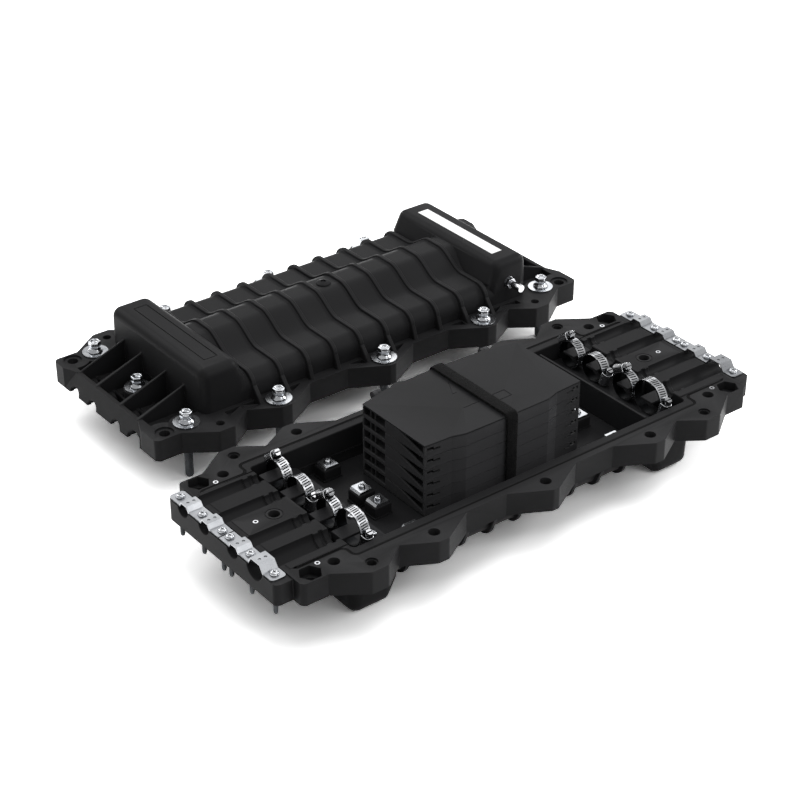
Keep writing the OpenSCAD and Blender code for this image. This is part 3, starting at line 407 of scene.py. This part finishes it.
def screw_thread(radius, rise, step, low, high):
    """Thread surface: with f the fraction of (z / step + turn / 2 pi), its radius is
    radius - rise * |1 - 2 f|, tapered over its last two steps at the low end, with a closed tip."""
    count = int((high - low) / step * ROWS_PER_STEP)
    z = np.linspace(low, high, count)[:, None]
    turn = np.linspace(0, 2 * math.pi, TURN_POINTS)[None, :]
    wave = (z / step + turn / (2 * math.pi)) % 1.0
    taper = np.clip(TIP_SHARE + (1 - TIP_SHARE) * (z - low) / (2 * step), 0, 1)
    out = (radius - rise + rise * (1 - np.abs(1 - 2 * wave))) * taper
    out[0] = 0
    points = np.stack(np.broadcast_arrays(out * np.cos(turn), out * np.sin(turn), z), axis=-1)
    return points, sheet_faces(count, TURN_POINTS)


def repeated(shape, places):
    """The same grid at each of several places, as one array of points and one of quads."""
    points, quads = shape
    flat = points.reshape(-1, 3)
    every = np.concatenate([flat + place for place in places])
    return every, np.concatenate([quads + k * len(flat) for k in range(len(places))])


for side in ("left", "right"):
    for kind, high in HEAD_HIGH.items():
        name = f"{side}_{kind}"
        boxes = separate_boxes(name)
        low, top = boxes[0]
        seats = [np.array([(a[0] + b[0]) / 2, (a[1] + b[1]) / 2, b[2] - high]) for a, b in boxes]
        drop = low[2] - (top[2] - high)
        head = screw_head((top[0] - low[0]) / 2, high)
        thread = screw_thread(SHANK_RADIUS, THREAD_RISE, THREAD_STEP, drop, 0)
        piece_from(name + "_heads", *repeated(head, seats), zinc_steel, "base", name)
        piece_from(name + "_threads", *repeated(thread, seats), thread_steel, "base", name)


# Cover bolts
# Twelve hexagon bolts hold the cover: a flanged collar, a waist and a rounded hexagon with a sunk middle.
# Their rolled threads stand out below the flange.
BOLT_THREAD_RADIUS, BOLT_THREAD_RISE, BOLT_THREAD_STEP, BOLT_THREAD_LONG = 0.004, 0.00045, 0.00125, 0.045
HEX_SPOKES, HEX_CORNER = 97, 1.12
BOLT_HEAD = np.array([  # radius, height from the top, hexagon share
    (0.0, -0.0016, 0), (0.0024, -0.0016, 0), (0.0029, -0.0013, 0), (0.0034, -0.0004, 0),
    (0.0039, 0.0, 0.4), (0.0044, -0.0001, 0.8), (0.0049, -0.0006, 1), (0.005, -0.0012, 1),
    (0.005, -0.0052, 1), (0.0047, -0.0056, 0.6), (0.0046, -0.006, 0.2), (0.0047, -0.0068, 0),
    (0.0053, -0.0079, 0), (0.0064, -0.0088, 0), (0.0068, -0.0092, 0), (0.0068, -0.01, 0)])


def hex_head(profile):
    """Bolt head, turned from its profile: where the hexagon share is 1, the radius is divided by the cosine
    of the angle to the nearest flat's middle, and no more than the rounded corner lets it."""
    turn = np.linspace(0, 2 * math.pi, HEX_SPOKES)[None, :]
    flat = (turn + math.pi / 6) % (math.pi / 3) - math.pi / 6
    corner = np.minimum(1 / np.cos(flat), HEX_CORNER)
    out = profile[:, :1] * (1 + profile[:, 2:] * (corner - 1))
    points = np.stack(np.broadcast_arrays(out * np.cos(turn), out * np.sin(turn), profile[:, 1:2]), axis=-1)
    return points, sheet_faces(len(profile), HEX_SPOKES)


bolts = separate_boxes("cover_bolts")
tips = [np.array([(a[0] + b[0]) / 2, (a[1] + b[1]) / 2, a[2]]) for a, b in bolts]
tops = [np.array([tip[0], tip[1], b[2]]) for tip, (a, b) in zip(tips, bolts)]
piece_from("cover_bolts_heads", *repeated(hex_head(BOLT_HEAD), tops), zinc_steel, "cover", "cover_bolts")
bolt_thread = screw_thread(BOLT_THREAD_RADIUS, BOLT_THREAD_RISE, BOLT_THREAD_STEP, 0, BOLT_THREAD_LONG)
# The bolt threads use the same darkened thread steel: painted shade.
piece_from("cover_bolts_threads", *repeated(bolt_thread, tips), thread_steel, "cover", "cover_bolts")


# Hose clamps
# Each is a band of stainless steel, 9 mm wide, drawn tight by a worm screw in a pressed housing.
# The screw's thread bites into slanted slots that are pressed through the band. Under the slotted
# face lies a closed sheet of dark steel: painted shade, seen through the slots and inside the ring.
STAINLESS, STAINLESS_DULL, SLOT_DARK, SLOT_DARKER = "#cfd0d2", "#a5a7ab", "#1d1e20", "#151617"
BASE_MIDDLE = np.array([-0.00535, -0.1247, 0.0625])
PORT_LINES = (0.0535, 0.0235, -0.0165, -0.0465)
CLAMP_X, SHELF_Z, CLAMP_SEAT = 0.160, -0.017, 0.0002
CLAMP_RADII, HOUSING_ANGLES = (0.0132, 0.0132, 0.0132, 0.0164), (50, 200, 60, 195)
BAND_WIDTH, BAND_THICK, SLOT_PITCH, SLOT_REACH, SLOT_SLANT = 0.009, 0.0008, 0.0022, 0.0031, 0.14
SLOT_COLUMNS, LAP_SWEEP, LAP_GAP = (0.0, 0.27, 0.73), 1.0, 0.35
HOUSING_LONG, HOUSING_HIGH, HOUSING_SHEET, HOUSING_SOFT = 0.013, 0.006, 0.0008, 0.0002
HOUSING_HALF, HOUSING_STEPS, HOUSING_RUN, HOUSING_FLARE = 0.53, 15, np.array([-0.5, -0.42, 0.42, 0.5]), 0.0004
WORM_RADIUS, WORM_RISE, WORM_PITCH, WORM_ROWS = 0.0023, 0.0004, 0.0017, 64

stainless = plated("rolled_stainless_band", STAINLESS, STAINLESS_DULL, 0.2, 0.25, (1, 0.15, 0.15))
# The dark closed sheet under each band is painted shade.
slot_shade_sheet = plated("painted_slot_shade_sheet", SLOT_DARK, SLOT_DARKER, 0.4, 0.25)


def thicken(obj, thick, offset, soften=0.0):
    """Gives a sheet its wall, and rounds the wall's edges where soften is not zero."""
    wall = obj.modifiers.new("wall", "SOLIDIFY")
    wall.thickness, wall.offset = thick, offset
    wall.use_even_offset = True
    if soften:
        edge = obj.modifiers.new("edge_round", "BEVEL")
        edge.width, edge.segments, edge.limit_method = soften, 1, "ANGLE"


def in_ring(points, side, i):
    """Points given about the ring's own axis X are moved to clamp i at the left (-1) or right (1) end."""
    centre = BASE_MIDDLE + np.array([0, PORT_LINES[i], SHELF_Z + CLAMP_SEAT + CLAMP_RADII[i]])
    moved = points + centre + np.array([CLAMP_X, 0, 0])
    moved[..., 0] = BASE_MIDDLE[0] + side * (points[..., 0] + CLAMP_X)
    return moved


def clamp_band(radius, start, sweep, slots=True):
    """Ring sheet: angle = start + sweep * share + slant * x / radius, point = (x, radius cos angle,
    radius sin angle). Each pitch has three columns; the middle one is left open between the slot's ends."""
    count = int(round(radius * sweep / SLOT_PITCH))
    share = (np.arange(count)[:, None] + np.array(SLOT_COLUMNS)[None, :]).ravel() / count
    share = np.append(share, 1.0)
    x = np.array([-BAND_WIDTH / 2, -SLOT_REACH, 0, SLOT_REACH, BAND_WIDTH / 2])
    angle = start + sweep * share[:, None] + SLOT_SLANT * x[None, :] / radius
    points = np.stack(np.broadcast_arrays(x, radius * np.cos(angle), radius * np.sin(angle)), axis=-1)
    open_slot = (np.arange(3 * count) % 3 == 1)[:, None] & np.array([False, slots, slots, False])[None, :]
    return points, sheet_faces(3 * count + 1, 5, keep=~open_slot)


def clamp_housing(radius, angle):
    """Arch of sheet over the worm: a half superellipse of power 3 across, carried straight along the tangent
    and flared at both ends."""
    turn = np.linspace(0, math.pi, HOUSING_STEPS)
    x = BAND_WIDTH * HOUSING_HALF * np.sign(np.cos(turn)) * np.abs(np.cos(turn)) ** (2 / 3)
    out = radius - BAND_THICK + (HOUSING_HIGH + BAND_THICK) * np.abs(np.sin(turn)) ** (2 / 3)
    run = HOUSING_RUN * HOUSING_LONG
    flare = np.array([HOUSING_FLARE, 0, 0, HOUSING_FLARE])
    v = out[None, :] + flare[:, None] * np.sin(turn)[None, :]
    points = np.stack(np.broadcast_arrays(
        x[None, :], v * math.cos(angle) - run[:, None] * math.sin(angle),
        v * math.sin(angle) + run[:, None] * math.cos(angle)), axis=-1)
    return points, sheet_faces(len(run), HOUSING_STEPS)


def worm_thread(radius, angle):
    """Worm: its radius swells by the cosine of (turn - 2 pi run / pitch) as it runs along the tangent."""
    run = np.linspace(-0.5, 0.5, WORM_ROWS) * HOUSING_LONG
    turn = np.linspace(0, 2 * math.pi, TURN_POINTS)[None, :]
    swell = WORM_RADIUS + WORM_RISE * np.cos(turn - 2 * math.pi * run[:, None] / WORM_PITCH)
    v = radius + HOUSING_HIGH / 2 + swell * np.cos(turn)
    points = np.stack(np.broadcast_arrays(
        swell * np.sin(turn), v * math.cos(angle) - run[:, None] * math.sin(angle),
        v * math.sin(angle) + run[:, None] * math.cos(angle)), axis=-1)
    return points, sheet_faces(WORM_ROWS, TURN_POINTS)


for side, end in ((-1, "left"), (1, "right")):
    for i in range(4):
        clamp, radius, angle = f"{end}_clamp_{i + 1}", CLAMP_RADII[i], math.radians(HOUSING_ANGLES[i])
        lap_start = angle + (LAP_GAP if math.cos(angle) > 0 else -LAP_GAP - LAP_SWEEP)
        rings = (("band", angle, 2 * math.pi, radius - BAND_THICK), ("lap", lap_start, LAP_SWEEP, radius))
        for part, start, sweep, inner in rings:
            # Each ring is a closed dark layer, painted shade, under a slotted stainless face.
            for layer, lift, metal in (("floor", 0, slot_shade_sheet), ("face", BAND_THICK / 2, stainless)):
                points, quads = clamp_band(inner + lift, start, sweep, slots=layer == "face")
                sheet = piece_from(f"{clamp}_{part}_{layer}", in_ring(points, side, i), quads, metal,
                                   "base", clamp, smooth=False)
                thicken(sheet, BAND_THICK / 2, side)
        points, quads = clamp_housing(radius, angle)
        arch = piece_from(clamp + "_housing", in_ring(points, side, i), quads, stainless, "base")
        thicken(arch, HOUSING_SHEET, -side, HOUSING_SOFT)
        points, quads = worm_thread(radius, angle)
        piece_from(clamp + "_thread", in_ring(points, side, i), quads, stainless, "base")
        screw = f"{end}_worm_screw_{i + 1}"
        rounded_copy(screw, screw + "_head", STEEL_ROUND, "base", stainless)


# Air valve and inserts
# The valve on the cover is turned from brass and plated with polished nickel.
# The threaded inserts moulded into the parting face are the same metal.
NICKEL, NICKEL_DULL = "#d9dadd", "#a9abb0"

nickel = plated("polished_nickel_plate", NICKEL, NICKEL_DULL, 0.14, 0.4)
rounded_copy("valve_body", "valve_body_turned", STEEL_ROUND, "cover", nickel)
rounded_copy("valve_nut", "valve_nut_turned", STEEL_ROUND, "cover", nickel)
rounded_copy("valve_cap", "valve_cap_turned", STEEL_ROUND, "valve_cap_body", nickel)
rounded_copy("threaded_inserts", "threaded_inserts_turned", STEEL_ROUND, "base", nickel)


# Sealing cord
# A cord of extruded black rubber lies in the groove of the parting face.
# It runs along the front and the back of the cavity, from end to end.
RUBBER_BLACK, RUBBER_EDGE, CORD_ROUND = "#0f0f0f", "#1c1c1c", 0.00025

rubber = moulded("extruded_sealing_rubber", RUBBER_BLACK, RUBBER_EDGE, 0.6, 1.2, 0.03)
rounded_copy("seal_gasket", "seal_gasket_cord", CORD_ROUND, "base", rubber)


# Label
# The label on top of the cover's right hump is a blank strip of white coated paper.
# Its cut edges are hardly rounded.
PAPER_WHITE, PAPER_EDGE, PAPER_ROUND = "#f2f2f1", "#ffffff", 0.00005

paper = moulded("white_coated_paper", PAPER_WHITE, PAPER_EDGE, 0.4, 0.8, 0.004)
rounded_copy("blank_label", "blank_label_paper", PAPER_ROUND, "cover", paper)


# Strap
# A black hook and loop strap, 11 mm wide, is pulled round the middle of the stack: up the back, over the
# lid and down the front. Its loops stand up unevenly, and it ripples a little between its folds.
STRAP_MIDDLE, STRAP_WIDTH, STRAP_THICK = -0.00335, 0.011, 0.0012
STRAP_BACK, STRAP_FRONT, STRAP_FOOT, STRAP_TOP = -0.0713, -0.1701, 0.0337, 0.1023
STRAP_FOLD, FOLD_POINTS, BACK_END, FRONT_END = 0.003, 9, 0.004, 0.007
STRAP_BLACK, STRAP_DEEP = "#161617", "#050505"
LOOP_SPACING, LOOP_HIGH, STRAP_SPACING = 0.0004, 0.00022, 0.0005
CROWN_HIGH, RIPPLE_HIGH, RIPPLE_TURNS, SWAY_WIDE, SWAY_TURN = 0.0003, 0.0002, (260, 97), 0.0001, 900
FUZZ_ALONG, FUZZ_ACROSS, FUZZ_SPREAD = 12.9898, 78.233, 43758.5453

webbing = bpy.data.materials.new("black_hook_and_loop_nylon")
webbing.use_nodes = True
tree = webbing.node_tree
skin = tree.nodes["Principled BSDF"]
place = node(tree, "ShaderNodeTexCoord").outputs["Object"]
loops = node(tree, "ShaderNodeTexVoronoi", {"feature": "F1"}, Vector=place, Scale=1 / LOOP_SPACING)
# The dips between the loops are painted darker: painted shade.
shade = node(tree, "ShaderNodeMapRange", Value=loops.outputs[0], From_Min=0.0, From_Max=0.8)
paint = node(tree, "ShaderNodeMix", {"data_type": "RGBA"}, _0=shade.outputs[0],
             _6=linear(STRAP_BLACK), _7=linear(STRAP_DEEP))
tree.links.new(paint.outputs[2], skin.inputs["Base Color"])
relief = node(tree, "ShaderNodeBump", {"invert": True},
              Strength=0.8, Distance=LOOP_HIGH, Height=loops.outputs[0])
tree.links.new(relief.outputs[0], skin.inputs["Normal"])
skin.inputs["Roughness"].default_value = 0.8
skin.inputs["Sheen Weight"].default_value = 0.05
skin.inputs["IOR"].default_value = PLASTIC_IOR


def strap_run(line):
    """Ribbon along a line of (y, z) points: it is resampled evenly, and each point is moved out along the
    normal by a crown across the width, a slow ripple and the fuzz of the loops (fraction of a large sine)."""
    line = np.array(line)
    far = np.concatenate([[0], np.cumsum(np.hypot(*np.diff(line, axis=0).T))])
    along = np.linspace(0, far[-1], int(far[-1] / STRAP_SPACING))
    y, z = np.interp(along, far, line[:, 0]), np.interp(along, far, line[:, 1])
    slope = np.gradient(np.stack([y, z], axis=-1), axis=0)
    slope /= np.linalg.norm(slope, axis=1, keepdims=True)
    across = np.linspace(-0.5, 0.5, int(STRAP_WIDTH / STRAP_SPACING))
    rows, cols = np.arange(len(along))[:, None], np.arange(len(across))[None, :]
    fuzz = np.sin(rows * FUZZ_ALONG + cols * FUZZ_ACROSS) * FUZZ_SPREAD
    fuzz = (fuzz - np.floor(fuzz) - 0.5) * LOOP_HIGH
    wave = np.sin(along[:, None] * RIPPLE_TURNS[0] + across[None, :] * 2)
    ripple = RIPPLE_HIGH * wave * np.cos(along[:, None] * RIPPLE_TURNS[1])
    out = CROWN_HIGH * (1 - 4 * across[None, :] ** 2) + fuzz + ripple + STRAP_THICK / 2
    x = STRAP_MIDDLE + across[None, :] * STRAP_WIDTH + SWAY_WIDE * np.sin(along[:, None] * SWAY_TURN)
    points = np.stack(np.broadcast_arrays(
        x, y[:, None] + slope[:, 1:2] * out, z[:, None] - slope[:, 0:1] * out), axis=-1)
    return points, sheet_faces(len(along), len(across))


arc = np.radians(np.linspace(0, 90, FOLD_POINTS))[:, None]
back_centre = np.array([STRAP_BACK - STRAP_FOLD, STRAP_TOP - STRAP_FOLD])
front_centre = np.array([STRAP_FRONT + STRAP_FOLD, STRAP_TOP - STRAP_FOLD])
back_corner = back_centre + STRAP_FOLD * np.hstack([np.cos(arc), np.sin(arc)])
front_corner = front_centre + STRAP_FOLD * np.hstack([-np.sin(arc), np.cos(arc)])
back_end, front_end = (STRAP_BACK, STRAP_TOP - BACK_END), (STRAP_FRONT, STRAP_TOP - FRONT_END)
runs = (("strap_back", "base", [(STRAP_BACK, STRAP_FOOT), back_end]),
        ("strap_over_lid", "tray_6_body", [back_end, *back_corner, *front_corner, front_end]),
        ("strap_front", "base", [front_end, (STRAP_FRONT, STRAP_FOOT)]))
for name, body, line in runs:
    points, quads = strap_run(line)
    run = piece_from(name, points, quads, webbing, body, "tray_strap")
    thicken(run, STRAP_THICK, -1)
